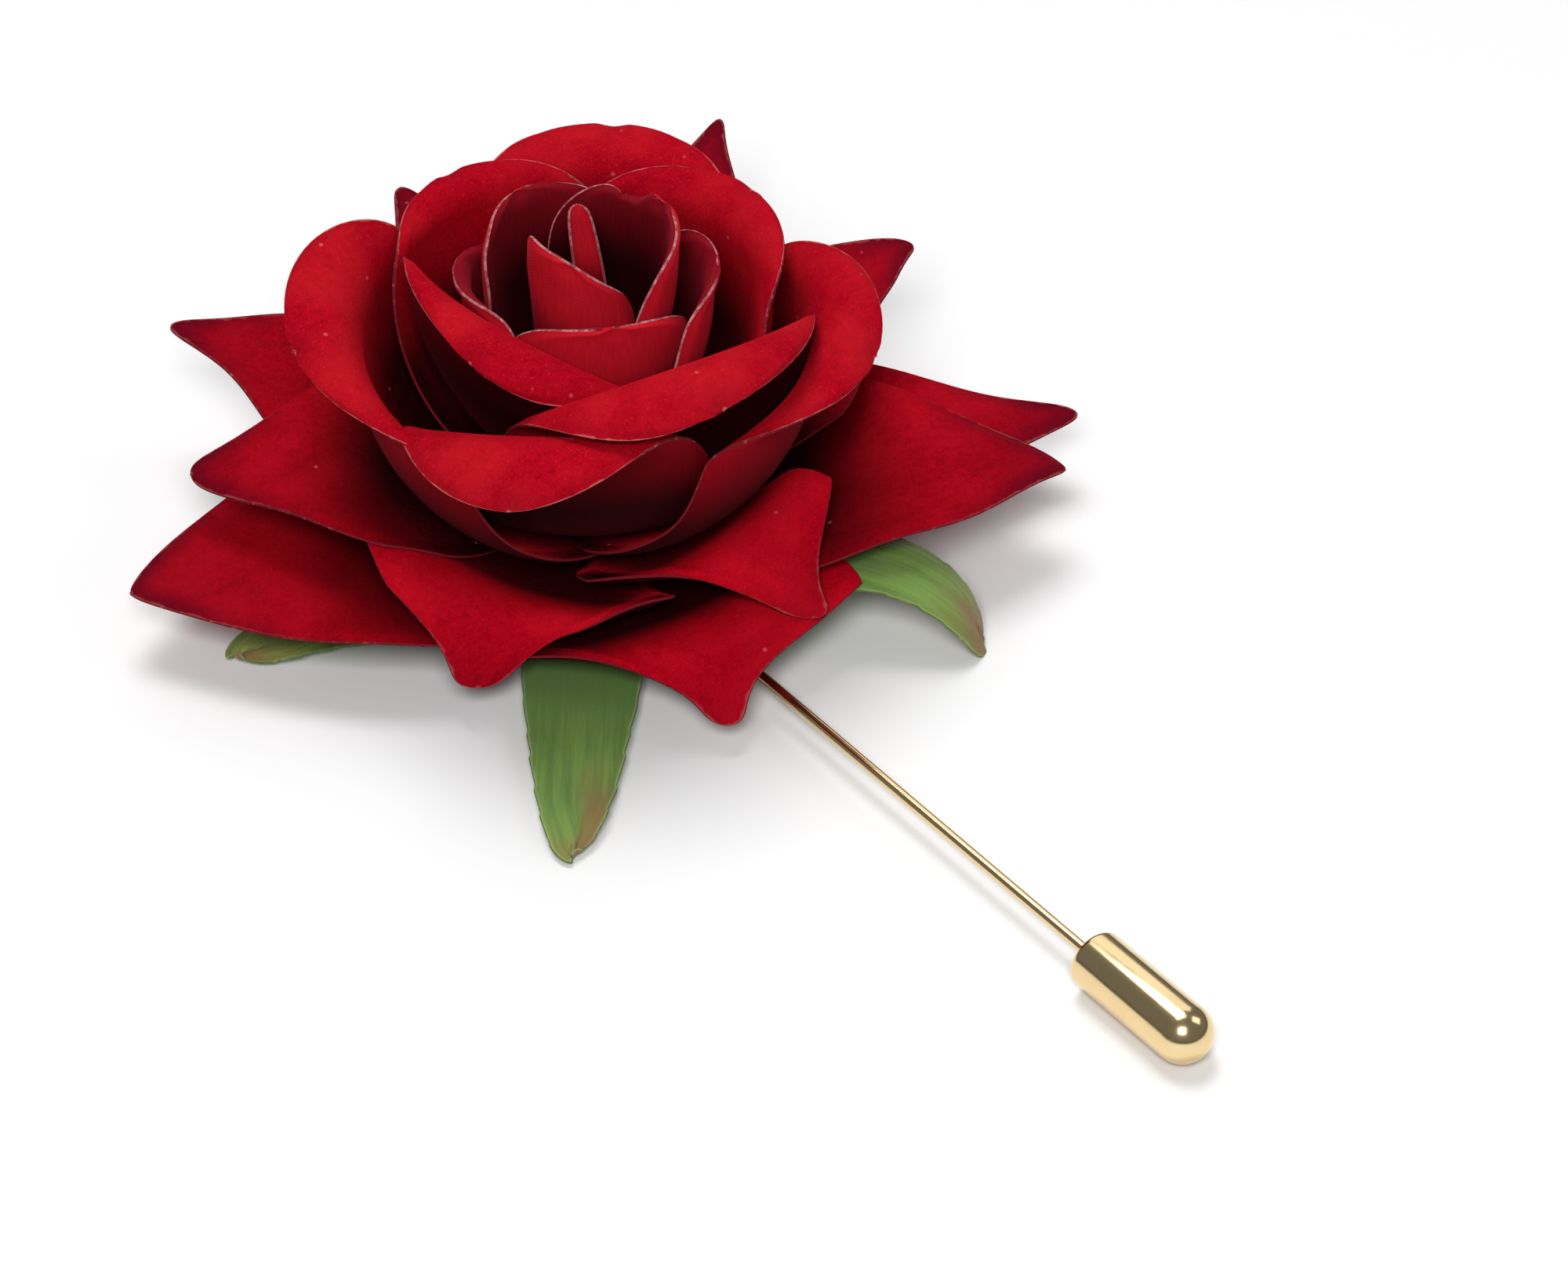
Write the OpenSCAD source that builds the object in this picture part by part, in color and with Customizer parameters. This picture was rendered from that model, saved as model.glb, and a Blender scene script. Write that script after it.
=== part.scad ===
// Rose lapel pin: cloth petals and sepals on a short stem, a stick pin through
// the stem and a bullet-shaped cap on the pin's point. The back face lies at z = 0,
// under the flower's axis, and the pin runs along -Y.

/* [Rose] */
// Width across the spread petals
rose_w = 76; // [74:0.5:80]
// Height of the bloom's tip above the back face
bloom_h = 34.5; // [33:0.25:38]
// Diameter of the outermost cup wall
cup_w = 37.2; // [36:0.2:39]
// Diameter of the outermost bud wall
bud_w = 20.4; // [19:0.2:21]
// Thickness of every petal
petal_t = 1; // [0.7:0.05:1.1]
// Gap between petals stacked on the stem
stack_gap = 0.2; // [0.15:0.05:0.3]
// Gap between standing petals at their walls
wall_gap = 0.4; // [0.3:0.05:0.5]

/* [Sepals] */
// Length of the longest sepal, from its root
sepal_l = 32; // [28:0.5:35]
// Width of a sepal
sepal_w = 10.4; // [8:0.2:11]
// Thickness of a sepal
sepal_t = 1; // [0.8:0.05:1.1]

/* [Stem] */
// Diameter of the flat back disc
back_w = 15; // [13:0.5:18]
// Thickness of the back disc
back_t = 1; // [0.8:0.1:1.2]
// Diameter of the circle on which the spread petals and sepals root
spread_root_w = 12; // [11:0.2:13]
// Diameter of the circle on which the cup petals root
cup_root_w = 10; // [9.4:0.2:10.6]
// Diameter of the circle on which the bud petals root
bud_root_w = 7.2; // [6.8:0.2:7.6]
// Gap between the stem and the petals' roots
seat_gap = 0.3; // [0.25:0.05:0.5]

/* [Pin] */
// Diameter of the shaft
pin_d = 0.9; // [0.7:0.05:1]
// Distance from the flower's axis to the end of the cap
pin_reach = 77; // [70:0.5:90]
// How far the shaft runs past the flower's axis inside the stem
pin_root = 3.5; // [2:0.5:4.5]
// Play between the shaft and its two bores, on the radius
pin_play = 0.05; // [0.02:0.01:0.08]
// Length of the shaft's sharp end
point_l = 2.2; // [1.5:0.1:3]

/* [Cap] */
// Diameter of the cap
cap_d = 4.8; // [4.6:0.1:5.4]
// Length of the cap
cap_l = 13; // [11:0.5:15]
// Depth of the bore in the cap
cap_bore_l = 9.5; // [8:0.5:10]
// Rounding of the cap's open rim
cap_rim_r = 0.6; // [0.3:0.1:1]

/* [Hidden] */
$fn = 48;

rose_r = rose_w / 2;
cup_r = cup_w / 2;
bud_r = bud_w / 2;
spread_root_r = spread_root_w / 2;

// The flower is turned about its axis against the pin
flower_turn = -37.5;

// Heights on the stem: sepals on the back disc, the pin, then layers of petals
layer_step = petal_t + stack_gap;
wall_step = petal_t + wall_gap;
pin_z = cap_d / 2;
sepal_z = back_t + stack_gap / 2 + sepal_t / 2;
pin_clear = 0.35;
first_layer_z = pin_z + pin_d / 2 + pin_clear + stack_gap + petal_t / 2;
function layer_z(layer) = first_layer_z + layer * layer_step;

// Outline shapes: width at the root, place of the widest row, power and sharpness
// of the closing stretch, width of the tip. Widths are shares of the half width.
ROUND = [0.30, 0.58, 2.4, 0.5, 0.06];
BUD = [0.45, 0.62, 2.6, 0.5, 0.06];
HEART = [1.00, 0.50, 1.5, 0.9, 0.10];
POINTED = [0.30, 0.52, 1.0, 1.5, 0.10];
FLAP = [0.30, 0.58, 1.2, 1.6, 0.14];
WIDE_FLAP = [0.15, 0.60, 1.0, 2.2, 0.12];
SEPAL = [0.40, 0.42, 3.0, 0.7, 0.15];

// Petals that stand around the axis. Turn, lip end and root heading are in degrees,
// rings are steps inward from the outermost wall, the fold's height is in percent of
// the bloom's height, and lengths are in percent of the bud's or the cup's radius.
//   turn, ring, layer, fold, lip, lip end, half width, root heading, lean, rise, wrap,
//   drop
BUD_PETALS = [
    [-125, 3.4, 13, 88, 10, 75,  73, 20,   0,   0, 1.0,  0],
    [  35, 2.4, 12, 90, 15, 70, 112, 20,   3,   0, 1.0,  0],
    [ 127, 1.4, 11, 87, 15, 70,  77, 17,  10,   0, 1.0,  0],
    [ -80, 1.3, 10, 82, 10, 85, 100, 25,   0,   0, 1.0,  0],
    [ 178, 0.3,  9, 77, 29, 10,  78, 25,   2,   0, 1.0,  0],
    [   2, 0.0,  8, 78, 20, 50,  81, 22,   8,   0, 1.0,  0],
];
CUP_PETALS = [
    [-126, 5.1,  7, 86, 42, -65, 74, 20,  10, -22, 1.3, 10],
    [  42, 3.0,  6, 74, 24,   0, 67, 17,   0,   0, 1.0,  0],
    [ -60, 2.4,  5, 79, 44, -65, 88, 14, -11,  13, 1.3,  9],
    [ 128, 2.0,  5, 72, 19, -20, 65, 14,   0,   0, 1.0,  0],
    [-102, 1.2,  4, 70, 58, -85, 67, 11,   0,   6, 1.1, 14],
    [  85, 1.0,  4, 69, 32, -30, 70, 12,   0,   0, 1.0,  0],
    [ -11, 0.0,  3, 65, 38, -50, 80,  8,   5,  -5, 1.0,  0],
    [ 195, 0.0,  3, 68, 38, -50, 78,  7, -13,   0, 1.0,  0],
];
HEART_STRIP = [105, 5.7, 14, 96, 5, 88, 25, 60, 0, 0, 0.5, 0];

// Petals that spread outward: three runs along the middle line, in percent of the
// rose's radius, with the heading at the root and at the end of each run.
//   turn, layer, run 1, run 2, run 3, four headings, half width, lean, cup, skew
SPREAD_PETALS = [
    [ -60, 2, 24,  8, 24, [ 8, 35, -20, -30], 30,  7, 12, 21, FLAP],
    [  44, 2, 32, 29, 19, [10, 23,  13,  -5], 29,  0, 4,  0, POINTED],
    [ 190, 2, 32, 13, 26, [ 8, 32,   0, -10], 27,  3, 5, -8, FLAP],
    [-112, 1, 32,  7, 18, [ 8, 20, -34, -58], 29, -5, 11, 0, FLAP],
    [   0, 1, 34, 32, 20, [ 8, 13,   0, -20], 31,  0, 4,  4, POINTED],
    [  75, 1, 37, 34, 23, [10, 18,  20,  15], 29,  0, 4,  0, POINTED],
    [ 157, 1, 32, 29, 21, [10, 20,  12,   0], 25, -5, 4,  0, POINTED],
    [ -65, 0, 32, 11, 18, [ 8, 10, -13, -38], 36, -1, 6,  3, WIDE_FLAP],
    [  16, 0, 37, 34, 21, [ 8,  8,   0,  -5], 25,  0, 3, -5, POINTED],
    [ 117, 0, 32, 32, 22, [ 6, 14,  16,  10], 28,  0, 3,  0, POINTED],
    [ 197, 0, 32, 29, 24, [ 5,  8,   0,  -5], 36,  0, 3,  0, POINTED],
];

// Sepals: turn, length in percent of the longest, four headings
SEPALS = [
    [ -91, 100, [ 0,  0,  -4,  -4]],
    [ -20,  97, [10, 13,  -6, -46]],
    [-154,  81, [ 0,  0,  -4,  -4]],
    [  51,  84, [ 0,  0,  -4,  -4]],
    [ 125,  84, [ 0,  0,  -4,  -4]],
];
SEPAL_RUNS = [0.40, 0.30, 0.30];

// Rows and columns of the petals' grids, and how much the rows bunch at the tip
bud_grid = [8, 9, 1.5];
cup_grid = [10, 10, 1.5];
spread_grid = [8, 9, 1.2];
sepal_grid = [6, 8, 1.1];

// A point s along an arc of the given length whose heading runs from a to b
function arc_point(length, a, b, s) =
    let (turn = (b - a) * PI / 180 / length)
    abs(turn) < 0.00001
        ? [s * cos(a), s * sin(a)]
        : let (now = a + (b - a) * s / length)
          [(sin(now) - sin(a)) / turn, (cos(a) - cos(now)) / turn];

// The middle line of a spread petal: three arcs in the radial plane
function run_point(runs, headings, s, k = 0) =
    k == 2 || s <= runs[k]
        ? arc_point(runs[k], headings[k], headings[k + 1], min(s, runs[k]))
        : arc_point(runs[k], headings[k], headings[k + 1], runs[k])
          + run_point(runs, headings, s - runs[k], k + 1);

// The middle line of a standing petal: a quarter oval up to the fold, then the lip
function standing_point(root, wall, fold, heading, lip, lip_end, t) =
    let (
        across = (wall - root[0]) / (1 - sin(heading)),
        up = (fold - root[1]) / cos(heading),
        belly = norm([across, up]) / sqrt(2) * (90 - heading) * PI / 180,
        s = t * (belly + lip),
        now = heading + (90 - heading) * min(s / belly, 1))
    s < belly
        ? root + [across * (sin(now) - sin(heading)), up * (cos(heading) - cos(now))]
        : [wall, fold] + arc_point(lip, 90, lip_end, s - belly);

// Half width of a petal at the share t of its length, as a share of its widest
function outline(shape, t) =
    t < shape[1]
        ? shape[0] + (1 - shape[0]) * sin(90 * t / shape[1])
        : shape[4] + (1 - shape[4])
          * pow(max(1 - pow((t - shape[1]) / (1 - shape[1]), shape[2]), 0), shape[3]);

// Unit normal at a grid point, toward the flower's axis or upward
function grid_normal(m, i, j) =
    let (
        rows = len(m) - 1,
        cols = len(m[0]) - 1,
        along = m[i][min(j + 1, cols)] - m[i][max(j - 1, 0)],
        up = m[min(i + 1, rows)][j] - m[max(i - 1, 0)][j],
        n = cross(up, along))
    n / max(norm(n), 0.000001);

// Wraps the middle line about the flower's axis, with half widths and side shift
function wrapped(line, widths, shifts, wrap, cols) = [
    for (i = [0:len(line) - 1]) [
        for (j = [0:cols])
            let (
                u = 2 * j / cols - 1,
                bend = max(line[i][0] * wrap, 1),
                turn = (u * widths[i] + shifts[i]) / bend * 180 / PI)
            [line[i][0] - bend + bend * cos(turn), bend * sin(turn), line[i][1]]]];

// Cups and leans the wrapped grid along its normals, lifts one side and drops both.
// All four grow with the grow power of the share of the petal's length
function shaped(m, widths, shares, lean, cup, rise, drop, grow) = [
    for (i = [0:len(m) - 1]) [
        for (j = [0:len(m[0]) - 1])
            let (
                u = (2 * j / (len(m[0]) - 1) - 1) * widths[i] / max(widths),
                t = pow(shares[i], grow))
            m[i][j] + grid_normal(m, i, j) * (cup * u * u + lean * u) * t
                + [0, 0, (rise * u - drop * u * u) * t]]];

// Places of the rows along a petal, bunched toward its tip
function row_shares(rows, bunch) = [for (i = [0:rows]) 1 - pow(1 - i / rows, bunch)];

// A closed sheet of the given thickness around a grid of middle points
module sheet(m, thickness) {
    rows = len(m) - 1;
    cols = len(m[0]) - 1;
    side = (rows + 1) * (cols + 1);
    half = thickness / 2;
    inner = [for (i = [0:rows]) for (j = [0:cols]) m[i][j] + grid_normal(m, i, j) * half];
    outer = [for (i = [0:rows]) for (j = [0:cols]) m[i][j] - grid_normal(m, i, j) * half];
    function at(i, j) = i * (cols + 1) + j;
    rim = concat(
        [for (j = [0:cols]) at(0, j)],
        [for (i = [1:rows]) at(i, cols)],
        [for (j = [cols - 1:-1:0]) at(rows, j)],
        [for (i = [rows - 1:-1:1]) at(i, 0)]);
    faces = concat(
        [for (i = [0:rows - 1]) for (j = [0:cols - 1]) each [
            [at(i, j), at(i, j + 1), at(i + 1, j + 1)],
            [at(i, j), at(i + 1, j + 1), at(i + 1, j)],
            [side + at(i, j), side + at(i + 1, j + 1), side + at(i, j + 1)],
            [side + at(i, j), side + at(i + 1, j), side + at(i + 1, j + 1)]]],
        [for (k = [0:len(rim) - 1]) let (a = rim[k], b = rim[(k + 1) % len(rim)]) each [
            [a, side + a, side + b],
            [a, side + b, b]]]);
    polyhedron(points = concat(inner, outer), faces = faces);
}

// A petal of the bud or the cup, with size as the radius of its outermost wall
module standing_petal(row, shape, size, root_r, grid) {
    unit = size / 100;
    root = [root_r, layer_z(row[2])];
    wall = size - row[1] * wall_step;
    fold = row[3] * bloom_h / 100;
    shares = row_shares(grid[1], grid[2]);
    line = [for (t = shares) standing_point(root, wall, fold, row[7], row[4] * unit, row[5], t)];
    widths = [for (t = shares) row[6] * unit * outline(shape, t)];
    shifts = [for (t = shares) 0];
    m = wrapped(line, widths, shifts, row[10], grid[0]);
    rotate(row[0] + flower_turn)
        sheet(shaped(m, widths, shares, row[8] * unit, 0, row[9] * unit, row[11] * unit, 1), petal_t);
}

// A petal or sepal that spreads from its root, given its runs and sizes. Its skew and
// its cup grow faster than its length, so the root stays straight and flat
skew_power = 1.5;
cup_power = 2;
module spreading(turn, root, runs, headings, shape, half_w, lean, cup, skew, grid, thickness) {
    shares = row_shares(grid[1], grid[2]);
    whole = runs[0] + runs[1] + runs[2];
    line = [for (t = shares) root + run_point(runs, headings, t * whole)];
    widths = [for (t = shares) half_w * outline(shape, t)];
    shifts = [for (t = shares) skew * pow(t, skew_power)];
    m = wrapped(line, widths, shifts, 1, grid[0]);
    rotate(turn + flower_turn)
        sheet(shaped(m, widths, shares, lean, cup, 0, 0, cup_power), thickness);
}

module bud_petal(k) {
    color([0.62, 0.10, 0.16])
        standing_petal(BUD_PETALS[k], BUD, bud_r, bud_root_w / 2, bud_grid);
}

module cup_petal(k) {
    color([0.78, 0.04, 0.10])
        standing_petal(CUP_PETALS[k], ROUND, cup_r, cup_root_w / 2, cup_grid);
}

// The rolled strip in the middle of the bud
module heart() {
    color([0.74, 0.06, 0.12])
        standing_petal(HEART_STRIP, HEART, bud_r, bud_r - HEART_STRIP[1] * wall_step, bud_grid);
}

module spread_petal(k) {
    row = SPREAD_PETALS[k];
    unit = rose_r / 100;
    color([0.68, 0.02, 0.08])
        spreading(row[0], [spread_root_r, layer_z(row[1])], [row[2], row[3], row[4]] * unit,
            row[5], row[10], row[6] * unit, row[7] * unit, row[8] * unit, row[9] * unit,
            spread_grid, petal_t);
}

module sepal(k) {
    row = SEPALS[k];
    color([0.30, 0.52, 0.22])
        spreading(row[0], [spread_root_r, sepal_z], SEPAL_RUNS * row[1] * sepal_l / 100,
            row[2], SEPAL, sepal_w / 2, 0, 0, 0, sepal_grid, sepal_t);
}

// The stem: flat back disc, then three turned steps that the roots sit around. The
// steeper roots of the cup and bud petals lean in over their circle by a little
cup_root_reach = 0.25 * petal_t;
bud_root_reach = 0.5 * petal_t;
spread_stem_r = spread_root_r - seat_gap;
cup_stem_r = cup_root_w / 2 - cup_root_reach - seat_gap;
bud_stem_r = bud_root_w / 2 - bud_root_reach - seat_gap;
cup_step_z = layer_z(CUP_PETALS[len(CUP_PETALS) - 1][2]) - petal_t;
bud_step_z = layer_z(BUD_PETALS[len(BUD_PETALS) - 1][2]) - petal_t;
stem_top_z = layer_z(HEART_STRIP[2]) - petal_t / 2 - seat_gap;
module stem() {
    color([0.24, 0.42, 0.18])
        difference() {
            rotate_extrude()
                polygon([
                    [0, 0],
                    [back_w / 2, 0],
                    [back_w / 2, back_t],
                    [spread_stem_r, back_t],
                    [spread_stem_r, cup_step_z],
                    [cup_stem_r, cup_step_z],
                    [cup_stem_r, bud_step_z],
                    [bud_stem_r, bud_step_z],
                    [bud_stem_r, stem_top_z],
                    [0, stem_top_z]]);
            translate([0, pin_root + pin_play, pin_z])
                rotate([90, 0, 0])
                    cylinder(h = back_w + pin_root, d = pin_d + 2 * pin_play);
        }
}

// The shaft: a tapered root in the stem, the long bare shaft, a slow taper that starts
// just outside the cap's mouth, and the sharp end
cap_mouth = pin_reach - cap_l;
root_overhang = 0.5;
bare_start = back_w / 2 + root_overhang;
taper_overhang = 0.3;
taper_start = cap_mouth - taper_overhang;
point_gap = 0.5;
shaft_end = cap_mouth + cap_bore_l - point_gap;
root_share = 0.7;
taper_share = 0.6;
module pin() {
    color([0.86, 0.72, 0.42])
        translate([0, 0, pin_z])
            rotate([90, 0, 0])
                rotate_extrude()
                    polygon([
                        [0, -pin_root],
                        [pin_d / 2 * root_share, -pin_root],
                        [pin_d / 2, bare_start],
                        [pin_d / 2, taper_start],
                        [pin_d / 2 * taper_share, shaft_end - point_l],
                        [0, shaft_end]]);
}

// The cap: a turned bullet with a rounded rim, a domed end and a blind bore
overrun = 1;
module cap() {
    color([0.90, 0.76, 0.46])
        translate([0, -cap_mouth, pin_z])
            rotate([90, 0, 0])
                difference() {
                    rotate_extrude()
                        union() {
                            square([cap_d / 2 - cap_rim_r, cap_l - cap_d / 2]);
                            translate([0, cap_rim_r])
                                square([cap_d / 2, cap_l - cap_d / 2 - cap_rim_r]);
                            intersection() {
                                translate([cap_d / 2 - cap_rim_r, cap_rim_r])
                                    circle(cap_rim_r);
                                square([cap_d, cap_l]);
                            }
                            intersection() {
                                translate([0, cap_l - cap_d / 2])
                                    circle(cap_d / 2);
                                square([cap_d, cap_l]);
                            }
                        }
                    translate([0, 0, -overrun])
                        cylinder(h = cap_bore_l + overrun, d = pin_d + 2 * pin_play);
                }
}

stem();
pin();
cap();
heart();
for (k = [1:len(BUD_PETALS)])
    bud_petal(k - 1);
for (k = [1:len(CUP_PETALS)])
    cup_petal(k - 1);
for (k = [1:len(SPREAD_PETALS)])
    spread_petal(k - 1);
for (k = [1:len(SEPALS)])
    sepal(k - 1);
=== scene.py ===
# A rose lapel pin: cloth petals and sepals glued around a short taped stem, with a
# polished stick pin and a bullet cap. Sizes are in millimetres until a mesh is made.

import math

import bmesh
import bpy
import numpy as np
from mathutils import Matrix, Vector


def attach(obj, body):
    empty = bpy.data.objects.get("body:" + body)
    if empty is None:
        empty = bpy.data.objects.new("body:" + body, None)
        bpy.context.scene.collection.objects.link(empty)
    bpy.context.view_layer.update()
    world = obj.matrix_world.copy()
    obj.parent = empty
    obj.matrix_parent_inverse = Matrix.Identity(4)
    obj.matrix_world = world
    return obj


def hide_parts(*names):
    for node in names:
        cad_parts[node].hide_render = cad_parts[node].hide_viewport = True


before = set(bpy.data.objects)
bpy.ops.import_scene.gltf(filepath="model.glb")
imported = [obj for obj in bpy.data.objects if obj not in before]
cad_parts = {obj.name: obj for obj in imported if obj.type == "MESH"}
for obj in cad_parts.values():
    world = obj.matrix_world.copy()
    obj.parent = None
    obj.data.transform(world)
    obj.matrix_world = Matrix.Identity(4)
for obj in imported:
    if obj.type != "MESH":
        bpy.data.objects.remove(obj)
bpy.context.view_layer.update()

MM = 0.001

# Sizes of the flower, in millimetres and degrees. Petals root one above another on the
# stem, and the walls of the standing petals lie one inside another
ROSE_R = 38.0
CUP_R = 18.6
BUD_R = 10.2
BLOOM_H = 34.5
SPREAD_ROOT_R = 6.0
CUP_ROOT_R = 5.0
BUD_ROOT_R = 3.6
BACK_DISC_R = 7.5
BACK_DISC_T = 1.0
PETAL_T = 1.0
STACK_GAP = 0.2
WALL_GAP = 0.4
SEPAL_L = 32.0
SEPAL_W = 9.6
SEPAL_T = 1.0
FLOWER_TURN = -37.5

# Sizes of the pin and its cap. The pin's line lies at the height of the cap's middle, and
# the bore's mouth is eased by a small rounding of three points
PIN_D = 0.9
PIN_REACH = 77.0
PIN_ROOT = 3.5
PIN_CLEARANCE = 0.35
POINT_L = 2.2
CAP_D = 4.8
CAP_L = 13.0
CAP_BORE_L = 9.5
CAP_BORE_D = 1.0
CAP_RIM_R = 0.6
CAP_MOUTH_EASE = 0.15
CAP_MOUTH_MIDDLE = (0.05, 0.04)
BORE_SPARE = 0.5
# Radius of the pin, as a share of its full radius: at its root, behind and on its point
ROOT_SLIM, SHOULDER_SLIM, POINT_SLIM = 0.7, 0.6, 0.35
# The pin is full from this far past the back disc's edge to this far before the cap
FULL_FROM, FULL_UNTIL = 0.5, 0.3
PIN_Z = CAP_D / 2

LAYER_STEP = PETAL_T + STACK_GAP
WALL_STEP = PETAL_T + WALL_GAP
FIRST_LAYER_Z = PIN_Z + PIN_D / 2 + PIN_CLEARANCE + STACK_GAP + PETAL_T / 2
SEPAL_Z = BACK_DISC_T + STACK_GAP / 2 + SEPAL_T / 2

# Outline shapes: width at the root, place of the widest row, power and sharpness of
# the closing stretch, width of the tip. Widths are shares of the half width
ROUND = (0.80, 0.58, 2.4, 0.5, 0.06)
ALMOND = (0.85, 0.45, 1.9, 0.65, 0.06)
BUD = (0.45, 0.62, 2.6, 0.5, 0.06)
HEART = (1.00, 0.35, 1.2, 0.6, 0.30)
POINTED = (0.30, 0.52, 1.0, 1.5, 0.10)
FLAP = (0.30, 0.58, 1.2, 1.6, 0.14)
WIDE_FLAP = (0.15, 0.60, 1.0, 2.3, 0.11)
NUBBED = (0.30, 0.50, 1.0, 2.0, 0.16)
SHORT_FLAP = (0.20, 0.55, 1.0, 1.9, 0.17)
BROAD = (0.30, 0.52, 1.2, 1.2, 0.08)
SEPAL = (0.40, 0.36, 1.3, 0.9, 0.36)

# Petals that stand around the axis. Turns and headings are in degrees, rings are steps
# inward from the outermost wall, folds are in percent of the bloom's height, and
# lengths are in percent of the bud's or the cup's radius
# turn, ring, layer, fold, lip, lip end, half width, root heading, lean, rise, wrap, drop
BUD_PETALS = [
    (-100, 4.1, 13, 91.5, 10, 75, 54, 20, 0, -34, 1.0, 0),
    (31, 2.3, 12, 91, 15, 70, 100, 20, 3, 0, 1.0, 0),
    (130, 1.2, 11, 87, 15, 70, 77, 17, 10, 0, 1.0, 0),
    (-73, 1.3, 10, 82, 10, 85, 87, 25, 0, -9, 1.0, 0),
    (186, 0.6, 9, 80, 20, 30, 86, 25, 2, 10, 1.0, 0),
    (2, 0.3, 8, 81, 20, 50, 81, 22, 8, 0, 1.0, 0),
]
CUP_PETALS = [
    (-122, 5.1, 7, 83.5, 34, -60, 68, 20, 10, -31, 1.3, 20),
    (40, 3.0, 6, 74, 24, 0, 75, 17, 0, 0, 1.0, 0),
    (-58, 2.4, 5, 80, 44, -65, 85, 14, -11, 11, 1.3, 31),
    (128, 2.0, 5, 74.5, 19, -20, 65, 14, 0, 0, 1.0, 0),
    (-103, 1.1, 4, 67, 58, -85, 82, 11, 0, 15, 1.1, 24),
    (85, 1.0, 4, 71.5, 32, -30, 70, 12, 0, 0, 1.0, 0),
    (-13, 0.2, 3, 65, 38, -50, 85, 8, 5, 3, 1.0, 0),
    (195, 0.2, 3, 68, 38, -50, 87, 7, -13, -8, 1.0, 0),
]
HEART_STRIP = (105, 5.7, 14, 96, 5, 88, 20, 60, 0, 0, 0.5, 0)

# Number of the cup petal in front, whose lip ends in points
FRONT_LIP = 5
# Notches in the rims of bud petals: depth, place across, width and reach down the cloth
NOTCHES = {"bud_petal_2": (2.2, 3.0, 1.5, 5.0)}
# How far the heart's root stands aside from its tip, along x and along y
HEART_LEAN = (-0.8, -1.3)

# Petals that spread outward in three runs, in percent of the rose's radius
# turn, layer, run 1, run 2, run 3, four headings, half width, lean, cup, skew, shape
SPREAD_PETALS = [
    (-50, 2, 26, 7, 19, (8, 33, -20, -35), 27, 11, 8, 9, NUBBED),
    (42, 2, 32, 29, 19, (10, 23, 13, -5), 31, 0, 4, 0, POINTED),
    (191, 2, 32, 13, 26, (8, 31, 0, -10), 32, -1, 5, -8, FLAP),
    (-108, 1, 28, 7, 14, (8, 21, -40, -52), 32, -16, 20, -4, SHORT_FLAP),
    (-6, 1, 34, 32, 20, (8, 13, 0, -20), 34, 0, 5, 13, BROAD),
    (75, 1, 37, 34, 22, (10, 18, 20, 15), 27, 0, 4, 0, POINTED),
    (157, 1, 32, 29, 24, (10, 20, 12, -3), 27, -5, 4, 0, POINTED),
    (-58, 0, 34, 7, 16, (6, 10, -20, -35), 36, 6, 5, -9, WIDE_FLAP),
    (18, 0, 37, 34, 21, (8, 9, 0, -8), 32, 4, 3, -8, POINTED),
    (116, 0, 32, 32, 22, (7, 17, 18, 12), 28, 0, 3, 0, POINTED),
    (199, 0, 32, 29, 24, (5, 8, 0, -5), 41, 0, 3, 0, BROAD),
]

# Spread petals with a slanted fold: how flat they lie across, and the slant of the fold
SLANTED_FOLDS = {
    "spread_petal_1": (2.0, -0.3),
    "spread_petal_4": (3.0, 0.17),
    "spread_petal_8": (3.0, -0.28),
}
# Tips that curl lengthwise like a horn: share of the length where it starts, and radius
CURLS = {
    "spread_petal_2": (0.62, 4.0),
    "spread_petal_6": (0.60, 3.0),
    "spread_petal_7": (0.58, 4.0),
    "spread_petal_10": (0.62, 4.0),
}
# How fast the skew and the cupping grow toward the tip
SKEW_POWER = 1.5
CUP_POWER = 2

# Sepals: turn, length in percent of the longest, four headings
SEPALS = [
    (-91, 100, (0, 0, -4, -4)),
    (-21, 100, (10, 24, -14, -78)),
    (-154, 81, (0, 0, -4, -4)),
    (51, 84, (0, 0, -4, -4)),
    (125, 84, (0, 0, -4, -4)),
]
# Lengths of a sepal's three runs, as shares of its own
SEPAL_RUNS = (0.40, 0.30, 0.30)
# Teeth in the sides of a sepal: least and most of them, their depth as a share of the
# width, and the shares of its length where they start and are full
SEPAL_TEETH = (9.0, 12.0)
SEPAL_TOOTH = 0.06
SEPAL_TOOTHED = (0.3, 0.7)
# The end of a sepal: depth of the bite out of it, where it may lie across, its width, how
# much the end slants, and the share of the length where the cut starts to show
SEPAL_BITE = 1.6
SEPAL_BITE_PLACE = (-0.1, 0.4)
SEPAL_BITE_WIDTH = 0.3
SEPAL_END_SLANT = 0.3
SEPAL_END_FROM = 0.75

# Ruffles: height of the swells, their size, and how far they reach in from the cut edge
HEART_RUFFLE = (0.1, 6.0, 4.0)
BUD_RUFFLE = (0.35, 7.0, 4.0)
CUP_RUFFLE = (0.35, 10.0, 4.0)
SPREAD_RUFFLE = (0.9, 11.0, 7.0)
SEPAL_RUFFLE = (0.4, 8.0, 4.0)
# Share of a petal's length over which the ruffle grows from the root
RUFFLE_GROWS = 0.4
# Swells laid over one another, and their sizes as shares of the given one
SWELLS = 5
SWELL_SIZES = (0.8, 1.7)

# Cloth as cut: thickness in the body and at the cut edge, how far the edge thins, and how
# far its middle stands out as a share of its thickness
BODY_T = 0.8
SEPAL_BODY_T = 0.7
EDGE_T = 0.22
EDGE_THINS = 1.6
EDGE_BULGE = 0.35

# Grid of a cloth piece, and how much its rows crowd toward the tip
ROWS, COLUMNS = 60, 48
TIP_BUNCH = 1.8

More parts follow.
